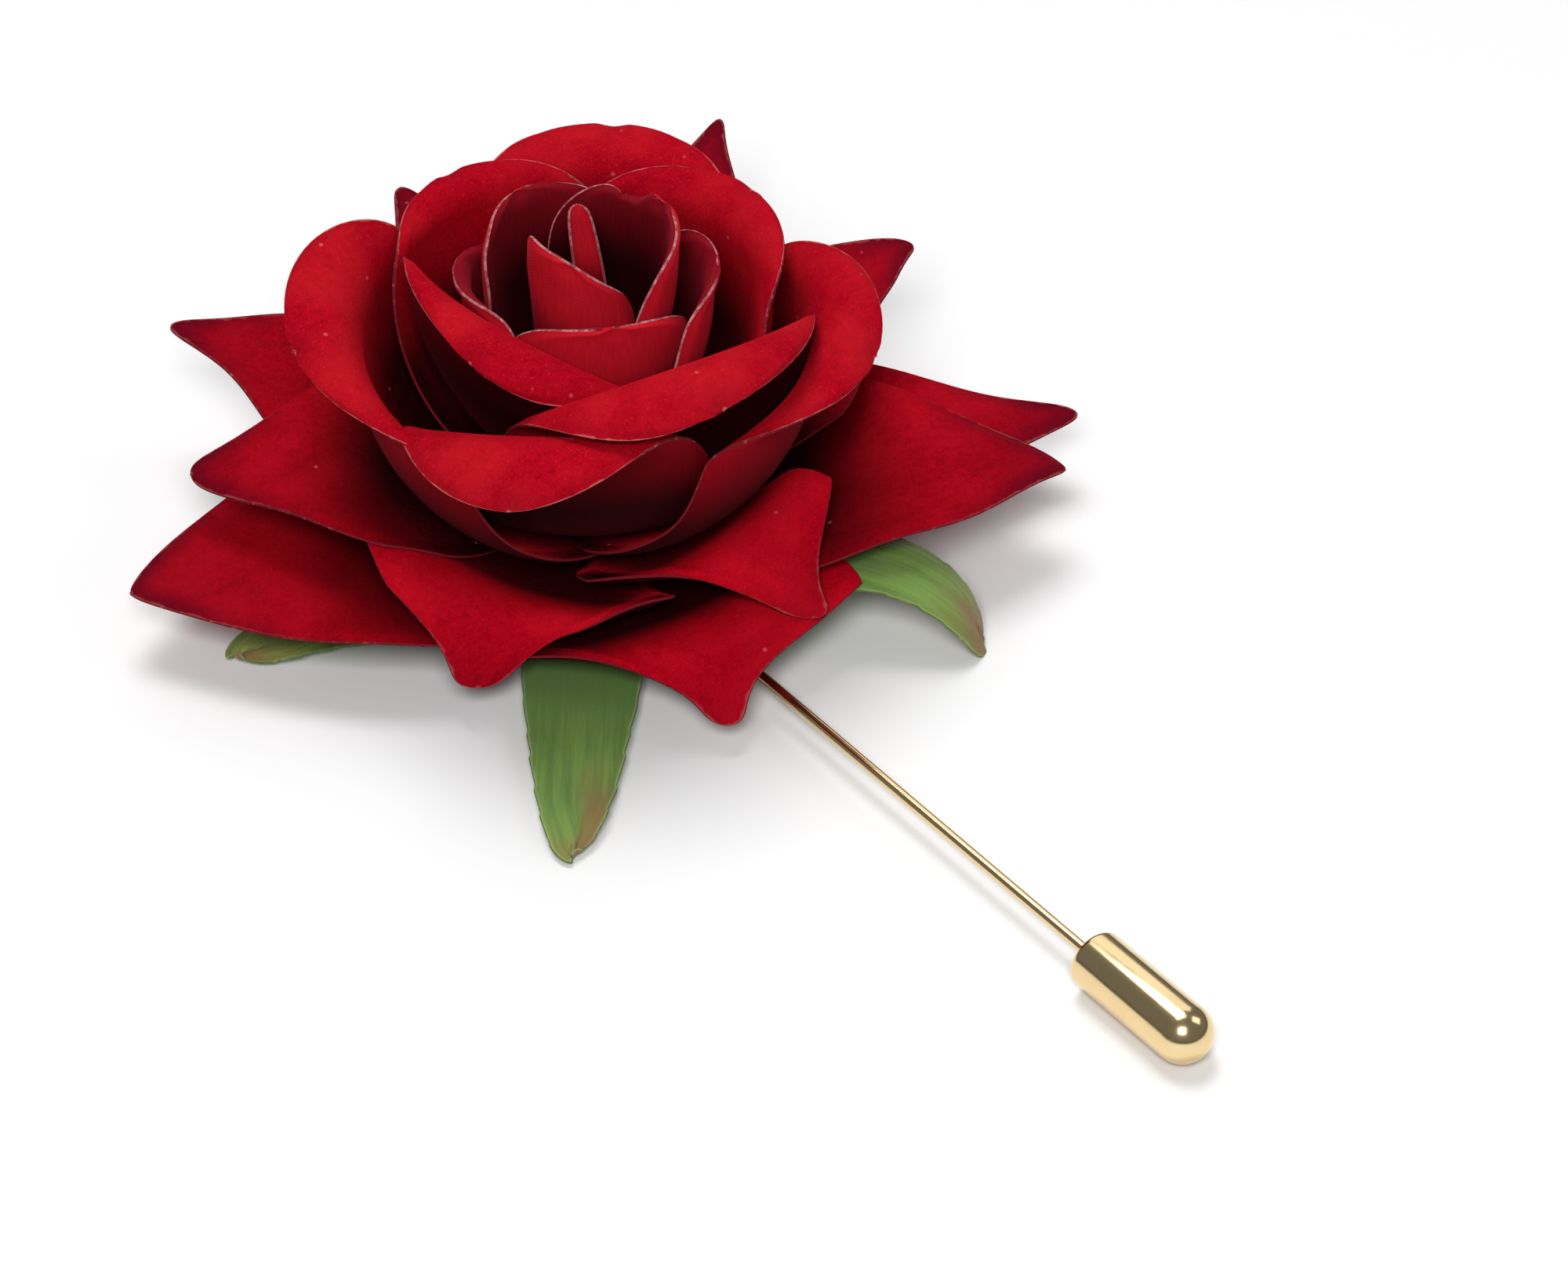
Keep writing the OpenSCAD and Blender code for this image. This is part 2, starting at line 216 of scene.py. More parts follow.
# Ends of the petals: power of the rounding across the tip, and least share of width kept
TIP_ROUND = 12
SMALLEST_WIDTH = 0.01

# Sides of a turned piece, and steps of a rounding in its profile
TURNED_SIDES = 96
DOME_STEPS = 24
RIM_STEPS = 10

# Values below these count as nothing: a bend or an angle, and a length
NO_BEND = 1e-6
NO_LENGTH = 1e-9


def layer_z(layer):
    """Height of a layer's root on the stem."""
    return FIRST_LAYER_Z + layer * LAYER_STEP


# Forms of the petals


def arc_points(length, start, end, s):
    """Points s along an arc whose heading turns from start to end."""
    turn = math.radians(end - start) / length
    first = math.radians(start)
    if abs(turn) < NO_BEND:
        return np.stack([s * math.cos(first), s * math.sin(first)], -1)
    now = first + turn * s
    return np.stack([np.sin(now) - math.sin(first), math.cos(first) - np.cos(now)], -1) / turn


def spreading_line(root, runs, headings, s):
    """The middle line of a petal that spreads: three arcs one after another."""
    points = np.zeros(s.shape + (2,)) + root
    start = 0
    for k, run in enumerate(runs):
        within = np.maximum(s - start, 0)
        if k < len(runs) - 1:
            within = np.minimum(within, run)
        points += arc_points(run, headings[k], headings[k + 1], within)
        start += run
    return points


def standing_line(root, wall, fold, heading, lip, lip_end, t):
    """The middle line of a petal that stands: a quarter oval, then the lip."""
    first = math.radians(heading)
    across = (wall - root[0]) / (1 - math.sin(first))
    up = (fold - root[1]) / math.cos(first)
    belly = math.hypot(across, up) / math.sqrt(2) * (math.pi / 2 - first)
    s = t * (belly + lip)
    now = first + (math.pi / 2 - first) * np.minimum(s / belly, 1)
    oval = np.stack([across * (np.sin(now) - math.sin(first)),
                     up * (math.cos(first) - np.cos(now))], -1)
    return np.asarray(root) + oval + arc_points(lip, 90, lip_end, np.maximum(s - belly, 0))


def outline(shape, t):
    """Half width at the share t of a petal's length, as a share of its widest."""
    root, widest, power, sharpness, tip = shape
    opening = root + (1 - root) * np.sin(np.pi / 2 * np.minimum(t / widest, 1))
    past = np.clip((t - widest) / (1 - widest), 0, 1)
    closing = (1 - tip) * (1 - past ** power) ** sharpness + tip * np.sqrt(1 - past ** TIP_ROUND)
    return np.where(t < widest, opening, np.maximum(closing, SMALLEST_WIDTH))


def grid_normals(m):
    """Unit normals of a grid, toward the flower's axis or upward."""
    along = np.gradient(m, axis=1)
    up = np.gradient(m, axis=0)
    n = np.cross(up, along)
    return n / np.maximum(np.linalg.norm(n, axis=-1, keepdims=True), NO_LENGTH)


def petal_grid(line, widths, shifts, wrap, t, lean=0, cup=0, rise=0, drop=0, grow=1):
    """Wraps a middle line about the flower's axis, then cups, leans, lifts and drops it.
    The wrap is the radius of the bend across, as a share of the reach from the axis."""
    u = np.linspace(-1, 1, COLUMNS + 1)[None]
    if line.ndim == 2:
        line = line[:, None]
    reach, height = line[..., 0], line[..., 1]
    bend = np.maximum(reach * wrap, 1)
    angle = (u * widths[:, None] + shifts[:, None]) / bend
    m = np.stack([reach - bend + bend * np.cos(angle), bend * np.sin(angle),
                  height + 0 * angle], -1)
    t = t[:, None] ** grow
    side = u * (widths / widths.max())[:, None]
    m = m + grid_normals(m) * ((cup * side ** 2 + lean * side) * t)[..., None]
    m[..., 2] += (rise * side - drop * side ** 2) * t
    return m


def rolled(m, t, start, radius):
    """Curls the cloth upward round its middle line toward the tip, like a horn."""
    centre = slice(COLUMNS // 2, COLUMNS // 2 + 1)
    middle, normal = m[:, centre], grid_normals(m)[:, centre]
    bend = blend_in((t - start) / (1 - start))[:, None] / radius
    angle = cloth_measures(m)[0] * bend
    safe = np.where(np.abs(angle) < NO_BEND, 1, angle)
    shrink = np.where(np.abs(angle) < NO_BEND, 1, np.sin(angle) / safe)
    lift = np.where(bend < NO_BEND, 0, (1 - np.cos(angle)) / np.maximum(bend, NO_BEND))
    return middle + (m - middle) * shrink[..., None] + normal * lift[..., None]


def notched(m, depth, centre, width, reach):
    """A soft notch in the rim of a petal, at a place across it."""
    dip = np.exp(-((cloth_measures(m)[0] - centre) / width) ** 2)
    m = m.copy()
    m[..., 2] -= depth * dip * (1 - blend_in(edge_distance(m) / reach))
    return m


def turned(m, degrees):
    """A grid turned about the flower's axis."""
    angle = math.radians(degrees + FLOWER_TURN)
    x = m[..., 0] * math.cos(angle) - m[..., 1] * math.sin(angle)
    y = m[..., 0] * math.sin(angle) + m[..., 1] * math.cos(angle)
    return np.stack([x, y, m[..., 2]], -1)


def walked(m, axis):
    """Way over the cloth from a grid's first column (axis 1) or first row (axis 0)."""
    steps = np.linalg.norm(np.diff(m, axis=axis), axis=-1)
    start = np.zeros((len(m), 1) if axis == 1 else (1, m.shape[1]))
    return np.concatenate([start, np.cumsum(steps, axis=axis)], axis=axis)


def edge_distance(m):
    """How far each grid point lies from the cut edge, over the cloth."""
    left, up = walked(m, 1), walked(m, 0)
    return np.minimum(np.minimum(left, left[:, -1:] - left), up[-1:] - up)


def cloth_measures(m):
    """Across and along in millimetres, measured over the cloth from the middle line."""
    left = walked(m, 1)
    across = left - left[:, -1:] / 2
    along = walked(m, 0)[:, COLUMNS // 2, None] + 0 * across
    return across, along


def soft_waves(across, along, size, seed):
    """A smooth uneven surface from -1 to 1, with swells of about the given size."""
    random = np.random.default_rng(seed)
    total = 0
    for _ in range(SWELLS):
        heading = random.uniform(0, math.pi)
        length = size * random.uniform(*SWELL_SIZES)
        phase = random.uniform(0, 2 * math.pi)
        way = across * math.cos(heading) + along * math.sin(heading)
        total = total + np.sin(2 * math.pi * way / length + phase)
    return total / SWELLS


def blend_in(x):
    """A smooth step from 0 to 1."""
    x = np.clip(x, 0, 1)
    return x * x * (3 - 2 * x)


# Meshes


def set_attribute(mesh, name, values):
    """Keeps one number a vertex, for the materials."""
    kept = mesh.attributes.new(name, "FLOAT", "POINT")
    kept.data.foreach_set("value", values.astype(np.float32))


def add_piece(name, mesh, body, node):
    """Puts a mesh in the scene. It rides on a body and stands for a node of the frame."""
    piece = bpy.data.objects.new(name, mesh)
    bpy.context.scene.collection.objects.link(piece)
    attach(piece, body)
    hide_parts(node)


def cut_line():
    """The grid places along the cut edge, once round as (rows, columns)."""
    loop = [(0, j) for j in range(COLUMNS + 1)] + [(i, COLUMNS) for i in range(1, ROWS + 1)]
    loop += [(ROWS, j) for j in range(COLUMNS - 1, -1, -1)]
    loop += [(i, 0) for i in range(ROWS - 1, 0, -1)]
    return tuple(np.array(loop).T)


def cloth_sheet(node, m, materials, share, body_t, seed):
    """A closed sheet of cloth around a grid of middle points, with a thin cut edge. Its
    three materials are for the face, the back and the cut edge."""
    edge = edge_distance(m)
    across, along = cloth_measures(m)
    half = (EDGE_T + (body_t - EDGE_T) * blend_in(edge / EDGE_THINS))[..., None] / 2
    thickness = grid_normals(m) * half
    loop = cut_line()
    rim = m[loop]
    away = rim - m[np.clip(loop[0], 1, ROWS - 1), np.clip(loop[1], 1, COLUMNS - 1)]
    away /= np.maximum(np.linalg.norm(away, axis=1, keepdims=True), NO_LENGTH)
    bulge = rim + away * EDGE_T * EDGE_BULGE
    points = np.concatenate([(m + thickness).reshape(-1, 3), (m - thickness).reshape(-1, 3),
                             bulge])

    index = np.arange(across.size).reshape(across.shape)
    front = np.stack([index[:-1, :-1], index[1:, :-1], index[1:, 1:], index[:-1, 1:]], -1)
    back = front[..., ::-1] + index.size
    a, mid = index[loop], 2 * index.size + np.arange(len(rim))
    b, mid_next = np.roll(a, -1), np.roll(mid, -1)
    upper = np.stack([a, b, mid_next, mid], -1)
    lower = np.stack([mid, mid_next, b + index.size, a + index.size], -1)
    faces = np.concatenate([front.reshape(-1, 4), back.reshape(-1, 4), upper, lower])

    mesh = bpy.data.meshes.new(node + "_cloth")
    mesh.from_pydata((points * MM).tolist(), [], faces.tolist())
    for material in materials:
        mesh.materials.append(material)
    sides = np.repeat([0, 1, 2], [ROWS * COLUMNS, ROWS * COLUMNS, 2 * len(rim)])
    mesh.polygons.foreach_set("material_index", sides.astype(np.int32))
    mesh.polygons.foreach_set("use_smooth", np.ones(len(faces), dtype=bool))
    for label, values in (("across", across), ("along", along), ("share", share + 0 * across),
                          ("edge", edge)):
        flat = values.reshape(-1)
        set_attribute(mesh, label, np.concatenate([flat, flat, values[loop]]))
    set_attribute(mesh, "seed", np.full(len(points), float(seed)))
    mark_sharp_edges(mesh)
    mesh.update()
    add_piece(node + "_cloth", mesh, "flower", node)


def mark_sharp_edges(mesh):
    """Keeps a crisp line where the cut edge meets the faces of the cloth."""
    shape = bmesh.new()
    shape.from_mesh(mesh)
    for line in shape.edges:
        if len({face.material_index for face in line.link_faces}) > 1:
            line.smooth = False
    shape.to_mesh(mesh)
    shape.free()


def turned_piece(name, profile, start, material, body, node):
    """A piece turned about the pin's line. The profile is (radius, distance) pairs."""
    shape = bmesh.new()
    rings = []
    for radius, distance in profile:
        y = -(start + distance) * MM
        if radius == 0:
            rings.append([shape.verts.new((0, y, PIN_Z * MM))])
            continue
        rings.append([shape.verts.new((radius * math.cos(a) * MM, y,
                                       (PIN_Z + radius * math.sin(a)) * MM))
                      for a in np.linspace(0, 2 * math.pi, TURNED_SIDES, endpoint=False)])
    for lower, upper in zip(rings, rings[1:]):
        for k in range(TURNED_SIDES):
            n = (k + 1) % TURNED_SIDES
            corners = [lower[k % len(lower)], lower[n % len(lower)],
                       upper[n % len(upper)], upper[k % len(upper)]]
            shape.faces.new(list(dict.fromkeys(corners)))
    bmesh.ops.recalc_face_normals(shape, faces=shape.faces)
    for face in shape.faces:
        face.smooth = True
    mesh = bpy.data.meshes.new(name)
    shape.to_mesh(mesh)
    shape.free()
    mesh.materials.append(material)
    add_piece(name, mesh, body, node)


# Materials


def fill_socket(tree, socket, value):
    """Links a socket, or sets its value."""
    if isinstance(value, bpy.types.NodeSocket):
        tree.links.new(value, socket)
    else:
        socket.default_value = value


def add_node(tree, kind, settings=(), **inputs):
    """Adds a node, with its settings and the values or links of its inputs. An input is
    given by its name, or by i and its number."""
    node = tree.nodes.new(kind)
    for key, value in dict(settings).items():
        setattr(node, key, value)
    for key, value in inputs.items():
        numbered = key[0] == "i" and key[1:].isdigit()
        label = int(key[1:]) if numbered else key.replace("_", " ")
        fill_socket(tree, node.inputs[label], value)
    return node


def maths(tree, operation, a, b=0.0, c=0.0):
    """The result of one sum on two or three values."""
    return add_node(tree, "ShaderNodeMath", {"operation": operation}, i0=a, i1=b, i2=c).outputs[0]


def ramp(tree, value, low, high, start=0.0, end=1.0):
    """A smooth climb from start to end while value goes from low to high."""
    node = add_node(tree, "ShaderNodeMapRange", {"interpolation_type": "SMOOTHSTEP"},
                    i0=value, i1=low, i2=high, i3=start, i4=end)
    return node.outputs[0]


def mix_colour(tree, share, a, b):
    """A mix of two colours."""
    node = add_node(tree, "ShaderNodeMix", {"data_type": "RGBA"}, i0=share, i6=a, i7=b)
    return node.outputs[2]


def measure(tree, name):
    """One of the numbers kept on the cloth's vertices."""
    return add_node(tree, "ShaderNodeAttribute", {"attribute_name": name}).outputs["Fac"]


def stretched_place(tree, across, along, scale_across, scale_along):
    """A place on a cloth piece for marks that run along it, other marks on each piece."""
    return add_node(tree, "ShaderNodeCombineXYZ", X=maths(tree, "MULTIPLY", across, scale_across),
                    Y=maths(tree, "MULTIPLY", along, scale_along),
                    Z=measure(tree, "seed")).outputs[0]


def new_group(name, inputs, outputs):
    """An empty node group with named sockets."""
    tree = bpy.data.node_groups.new(name, "ShaderNodeTree")
    kinds = {"value": "NodeSocketFloat", "vector": "NodeSocketVector"}
    for label, kind, value in inputs:
        socket = tree.interface.new_socket(label, in_out="INPUT", socket_type=kinds[kind])
        socket.default_value = value
    for label, kind in outputs:
        tree.interface.new_socket(label, in_out="OUTPUT", socket_type=kinds[kind])
    given = tree.nodes.new("NodeGroupInput").outputs
    return tree, given, tree.nodes.new("NodeGroupOutput").inputs


def use_group(tree, group, **inputs):
    """Places a node group and returns its outputs."""
    return add_node(tree, "ShaderNodeGroup", {"node_tree": group}, **inputs).outputs


def make_pile_group():
    """Short pile: a fine uneven nap with paler flecks and rare lint, brushed in patches."""
    tree, given, out = new_group(
        "Short pile",
        [("Tuft size", "value", 0.22), ("Depth", "value", 0.5), ("Fleck share", "value", 0.3)],
        [("Tuft", "value"), ("Fleck", "value"), ("Lint", "value"), ("Brushed", "value"),
         ("Normal", "vector")])
    place = add_node(tree, "ShaderNodeTexCoord").outputs["Object"]
    scale = maths(tree, "DIVIDE", 1000.0, given["Tuft size"])
    tuft = add_node(tree, "ShaderNodeTexNoise", Vector=place, Scale=scale, Detail=3.0,
                    Roughness=0.7).outputs[0]
    coarse = add_node(tree, "ShaderNodeTexNoise", Vector=place,
                      Scale=maths(tree, "MULTIPLY", scale, 0.35), Detail=2.0).outputs[0]
    patches = add_node(tree, "ShaderNodeTexNoise", Vector=place, Scale=150.0, Detail=2.0,
                       Roughness=0.5).outputs[0]
    height = maths(tree, "ADD", maths(tree, "MULTIPLY", tuft, 0.6),
                   maths(tree, "MULTIPLY", coarse, 0.4))
    bump = add_node(tree, "ShaderNodeBump", Strength=given["Depth"], Distance=0.00018,
                    Height=height)
    flecks = add_node(tree, "ShaderNodeTexNoise", Vector=place,
                      Scale=maths(tree, "MULTIPLY", scale, 1.1), Detail=1.0).outputs[0]
    fleck = maths(tree, "MULTIPLY", ramp(tree, flecks, 0.62, 0.74), given["Fleck share"])
    specks = add_node(tree, "ShaderNodeTexVoronoi", Vector=place, Scale=420.0, Randomness=1.0)
    near_speck = ramp(tree, specks.outputs["Distance"], 0.10, 0.03)
    chosen = add_node(tree, "ShaderNodeSeparateXYZ", Vector=specks.outputs["Color"]).outputs["X"]
    lint = maths(tree, "MULTIPLY", near_speck, maths(tree, "GREATER_THAN", chosen, 0.80))
    tree.links.new(height, out["Tuft"])
    tree.links.new(fleck, out["Fleck"])
    tree.links.new(lint, out["Lint"])
    tree.links.new(ramp(tree, patches, 0.35, 0.65), out["Brushed"])
    tree.links.new(bump.outputs[0], out["Normal"])
    return tree


def make_thread_group():
    """Woven backing: threads along and across the cloth, with slubs."""
    tree, given, out = new_group(
        "Woven threads",
        [("Thread", "value", 0.28), ("Depth", "value", 0.4), ("Slub", "value", 0.5)],
        [("Thread", "value"), ("Slub", "value"), ("Normal", "vector")])
    across, along = measure(tree, "across"), measure(tree, "along")
    turn = maths(tree, "DIVIDE", 2 * math.pi, given["Thread"])
    warp = maths(tree, "SINE", maths(tree, "MULTIPLY", across, turn))
    weft = maths(tree, "SINE", maths(tree, "MULTIPLY", along, turn))
    weave = maths(tree, "MULTIPLY_ADD", maths(tree, "MULTIPLY", warp, weft), 0.5, 0.5)
    slub_place = stretched_place(tree, across, along, 4.0, 0.5)
    slub = add_node(tree, "ShaderNodeTexNoise", Vector=slub_place, Scale=1.0, Detail=3.0).outputs[0]
    height = maths(tree, "ADD", weave, maths(tree, "MULTIPLY", slub, given["Slub"]))
    bump = add_node(tree, "ShaderNodeBump", Strength=given["Depth"], Distance=0.00008,
                    Height=height)
    tree.links.new(weave, out["Thread"])
    tree.links.new(slub, out["Slub"])
    tree.links.new(bump.outputs[0], out["Normal"])
    return tree


def make_dyed_tip_group():
    """Dye that darkens the tip and the last stretch of the cut edge."""
    tree, given, out = new_group(
        "Dyed tip",
        [("From", "value", 0.72), ("Edge reach", "value", 2.0), ("Amount", "value", 0.8)],
        [("Tip", "value")])
    share, edge = measure(tree, "share"), measure(tree, "edge")
    place = add_node(tree, "ShaderNodeTexCoord").outputs["Object"]
    uneven = add_node(tree, "ShaderNodeTexNoise", Vector=place, Scale=260.0, Detail=2.0).outputs[0]
    wander = maths(tree, "MULTIPLY", maths(tree, "SUBTRACT", uneven, 0.5), 0.25)
    tip = ramp(tree, maths(tree, "ADD", share, wander), given["From"], 1.0)
    near = maths(tree, "SUBTRACT", 1.0, ramp(tree, edge, 0.0, given["Edge reach"]))
    both = maths(tree, "MULTIPLY", tip, maths(tree, "ADD", maths(tree, "MULTIPLY", near, 0.6), 0.4))
    tree.links.new(maths(tree, "MULTIPLY", both, given["Amount"]), out["Tip"])
    return tree


def make_worn_edge_group():
    """Backing threads that show in a thin broken line beside the cut edge."""
    tree, given, out = new_group(
        "Worn edge",
        [("Width", "value", 0.3), ("From", "value", 0.7)],
        [("Worn", "value")])
    place = add_node(tree, "ShaderNodeTexCoord").outputs["Object"]
    broken = add_node(tree, "ShaderNodeTexNoise", Vector=place, Scale=900.0, Detail=3.0).outputs[0]
    reach = maths(tree, "MULTIPLY", given["Width"], ramp(tree, broken, 0.35, 0.65, 0.2, 1.3))
    close = ramp(tree, measure(tree, "edge"), reach, 0.0)
    outer = ramp(tree, measure(tree, "share"), given["From"], 0.95)
    tree.links.new(maths(tree, "MULTIPLY", close, outer), out["Worn"])
    return tree


def make_root_shade_group():
    """Painted shade: the cloth darkens toward its root, deep in the flower where shade falls."""
    tree, given, out = new_group(
        "Painted root shade",
        [("Root", "value", 0.2), ("Open", "value", 0.6)],
        [("Open", "value")])
    tree.links.new(ramp(tree, measure(tree, "share"), given["Root"], given["Open"]), out["Open"])
    return tree


def make_polish_group():
    """Polished metal: faint drawing marks, handling and a soft unevenness."""
    tree, given, out = new_group(
        "Polish",
        [("Roughness", "value", 0.12), ("Marks", "value", 0.2)],
        [("Roughness", "value"), ("Tarnish", "value"), ("Normal", "vector")])
    place = add_node(tree, "ShaderNodeTexCoord").outputs["Object"]
    drawn = add_node(tree, "ShaderNodeMapping", Vector=place,
                     Scale=(6000.0, 60.0, 6000.0)).outputs[0]
    lines = add_node(tree, "ShaderNodeTexNoise", Vector=drawn, Scale=1.0, Detail=2.0).outputs[0]
    smears = add_node(tree, "ShaderNodeTexNoise", Vector=place, Scale=350.0, Detail=3.0).outputs[0]
    bump = add_node(tree, "ShaderNodeBump", Strength=given["Marks"], Distance=0.000004,
                    Height=lines)
    uneven = maths(tree, "MULTIPLY", maths(tree, "SUBTRACT", smears, 0.5), 0.12)
    rough = maths(tree, "ADD", given["Roughness"], uneven)
    tree.links.new(rough, out["Roughness"])
    tree.links.new(ramp(tree, smears, 0.45, 0.75), out["Tarnish"])
    tree.links.new(bump.outputs[0], out["Normal"])
    return tree


PILE = make_pile_group()
THREADS = make_thread_group()
DYED_TIP = make_dyed_tip_group()
WORN_EDGE = make_worn_edge_group()
ROOT_SHADE = make_root_shade_group()
POLISH = make_polish_group()


def new_material(name):
    """An empty material: its tree and its shader."""
    material = bpy.data.materials.new(name)
    material.use_nodes = True
    tree = material.node_tree
    return material, tree, tree.nodes["Principled BSDF"].inputs


def velvet(name, colour, bright, deep, root_shade_span, tip_colour, tip_amount, worn_amount):
    """Red velvet: matt pile with a reddish sheen, flecks, painted shade toward the root, a dyed
    tip, a worn edge and lint. The span of the painted root shade is in shares of the petal's
    length."""
    material, tree, shader = new_material(name)
    pile = use_group(tree, PILE, Tuft_size=0.24, Depth=0.55, Fleck_share=0.35)
    tip = use_group(tree, DYED_TIP, From=0.62, Edge_reach=3.0, Amount=tip_amount)
    shade = mix_colour(tree, ramp(tree, pile["Tuft"], 0.30, 0.60), deep, colour)
    brushed = mix_colour(tree, maths(tree, "MULTIPLY", pile["Brushed"], 0.25), shade, bright)
    flecked = mix_colour(tree, pile["Fleck"], brushed, bright)
    # Painted shade: toward the petal's root the colour darkens to a near black red, where shade
    # falls deep in the flower
    rooted = use_group(tree, ROOT_SHADE, Root=root_shade_span[0], Open=root_shade_span[1])
    opened = mix_colour(tree, rooted["Open"], ROOT_SHADE_RED, flecked)
    dyed = mix_colour(tree, tip["Tip"], opened, tip_colour)
    worn = use_group(tree, WORN_EDGE, Width=0.30, From=0.72)
    edged = mix_colour(tree, maths(tree, "MULTIPLY", worn["Worn"], worn_amount), dyed, WORN_RED)
    linted = mix_colour(tree, maths(tree, "MULTIPLY", pile["Lint"], 0.45), edged, WORN_RED)
    tree.links.new(linted, shader["Base Color"])
    tree.links.new(ramp(tree, pile["Tuft"], 0.3, 0.7, 0.95, 0.75), shader["Roughness"])
    tree.links.new(pile["Normal"], shader["Normal"])
    shader["Specular IOR Level"].default_value = 0.03
    shader["Sheen Weight"].default_value = 0.30
    shader["Sheen Roughness"].default_value = 0.30
    shader["Sheen Tint"].default_value = (1.0, 0.012, 0.035, 1)
    return material


def backing(name, colour, deep, root_shade_span, roughness, sheen):
    """The woven back of the petals, and the woven cloth of the bud, with painted shade toward the
    root.
    """
    material, tree, shader = new_material(name)
    threads = use_group(tree, THREADS, Thread=0.3, Depth=0.25, Slub=0.8)
    tip = use_group(tree, DYED_TIP, From=0.7, Edge_reach=3.0, Amount=0.4)
    base = mix_colour(tree, ramp(tree, threads["Slub"], 0.1, 0.9), deep, colour)
    # Painted shade: toward the root the cloth darkens to a near black red, where shade falls deep
    # in the flower
    rooted = use_group(tree, ROOT_SHADE, Root=root_shade_span[0], Open=root_shade_span[1])
    opened = mix_colour(tree, rooted["Open"], ROOT_SHADE_RED, base)
    dyed = mix_colour(tree, tip["Tip"], opened, deep)
    tree.links.new(dyed, shader["Base Color"])
    rough = ramp(tree, threads["Thread"], 0.0, 1.0, roughness + 0.1, roughness)
    tree.links.new(rough, shader["Roughness"])
    tree.links.new(threads["Normal"], shader["Normal"])
    shader["Specular IOR Level"].default_value = 0.04
    shader["Sheen Weight"].default_value = sheen
    shader["Sheen Roughness"].default_value = 0.4
    shader["Sheen Tint"].default_value = (1.0, 0.06, 0.10, 1)
    return material


def cut_edge(name, pale, dark, pale_share):
    """The thin cut edge, where pale backing threads show between dark ones."""
    material, tree, shader = new_material(name)
    place = add_node(tree, "ShaderNodeTexCoord").outputs["Object"]
    frays = add_node(tree, "ShaderNodeTexNoise", Vector=place, Scale=1800.0, Detail=3.0,
                     Roughness=0.7).outputs[0]
    frayed = ramp(tree, frays, 0.62 - pale_share * 0.3, 0.8 - pale_share * 0.3)
    shown = maths(tree, "MULTIPLY", frayed, ramp(tree, measure(tree, "share"), 0.55, 0.85))
    tree.links.new(mix_colour(tree, shown, dark, pale), shader["Base Color"])
    bump = add_node(tree, "ShaderNodeBump", Strength=0.5, Distance=0.0001, Height=frays)
    tree.links.new(bump.outputs[0], shader["Normal"])
    shader["Roughness"].default_value = 0.9
    shader["Specular IOR Level"].default_value = 0.2
    return material


def leaf_cloth(name, fresh, deep, rust):
    """Green sepal cloth: printed streaks, rusty toward one side of the tip."""
    material, tree, shader = new_material(name)
    threads = use_group(tree, THREADS, Thread=0.26, Depth=0.5, Slub=0.8)
    across, along = measure(tree, "across"), measure(tree, "along")
    share, edge = measure(tree, "share"), measure(tree, "edge")
    streak_place = stretched_place(tree, across, along, 1.3, 0.07)
    streaks = add_node(tree, "ShaderNodeTexNoise", Vector=streak_place, Scale=1.0, Detail=4.0,
                       Roughness=0.65).outputs[0]
    green = mix_colour(tree, ramp(tree, streaks, 0.25, 0.75), deep, fresh)
    # Painted shade: the green deepens toward the sepal's root, which lies under the petals
    rooted = mix_colour(tree, ramp(tree, share, 0.75, 0.3), green, deep)
    blot_place = stretched_place(tree, across, along, 0.22, 0.12)
    blot = add_node(tree, "ShaderNodeTexNoise", Vector=blot_place, Scale=1.0, Detail=3.0).outputs[0]
    wander = maths(tree, "MULTIPLY", maths(tree, "SUBTRACT", blot, 0.5), 0.7)
    sided = maths(tree, "ADD", share, maths(tree, "MULTIPLY", across, 0.045))
    rusty = ramp(tree, maths(tree, "ADD", sided, wander), 0.70, 1.12)
    tinted = mix_colour(tree, maths(tree, "MULTIPLY", rusty, 0.85), rooted, rust)
    pale = mix_colour(tree, ramp(tree, edge, 0.25, 0.0, 0.0, 0.5), tinted, (0.36, 0.42, 0.18, 1))
    tree.links.new(pale, shader["Base Color"])
    tree.links.new(ramp(tree, threads["Thread"], 0.0, 1.0, 0.75, 0.6), shader["Roughness"])
    tree.links.new(threads["Normal"], shader["Normal"])
    shader["Specular IOR Level"].default_value = 0.35
    shader["Sheen Weight"].default_value = 0.15
    return material


def stem_tape(name):
    """Green tape wound around the stem, painted near black toward its top inside the flower as
    painted shade.
    """
    material, tree, shader = new_material(name)
    place = add_node(tree, "ShaderNodeTexCoord").outputs["Object"]
    tilted = add_node(tree, "ShaderNodeMapping", Vector=place, Rotation=(0.25, 0.1, 0)).outputs[0]
    winds = add_node(tree, "ShaderNodeTexWave", {"bands_direction": "Z", "wave_profile": "SAW"},
                     Vector=tilted, Scale=90.0, Distortion=1.5, Detail=2.0).outputs[1]
    crinkle = add_node(tree, "ShaderNodeTexNoise", Vector=place, Scale=1500.0,
                       Detail=4.0).outputs[0]
    relief = maths(tree, "ADD", winds, maths(tree, "MULTIPLY", crinkle, 0.6))
    green = mix_colour(tree, ramp(tree, crinkle, 0.3, 0.7), (0.035, 0.09, 0.02, 1),
                       (0.09, 0.2, 0.05, 1))
    height = add_node(tree, "ShaderNodeSeparateXYZ", Vector=place).outputs["Z"]
    # Painted shade: the tape turns near black toward its top, where it stands inside the flower
    # under the cup
    painted_shade_top = mix_colour(tree, ramp(tree, height, 0.005, 0.009), green, (0.02, 0.002, 0.003, 1))
    tree.links.new(painted_shade_top, shader["Base Color"])
    bump = add_node(tree, "ShaderNodeBump", Strength=0.5, Distance=0.0002, Height=relief)
    tree.links.new(bump.outputs[0], shader["Normal"])
    tree.links.new(ramp(tree, crinkle, 0.3, 0.7, 0.75, 0.55), shader["Roughness"])
    return material


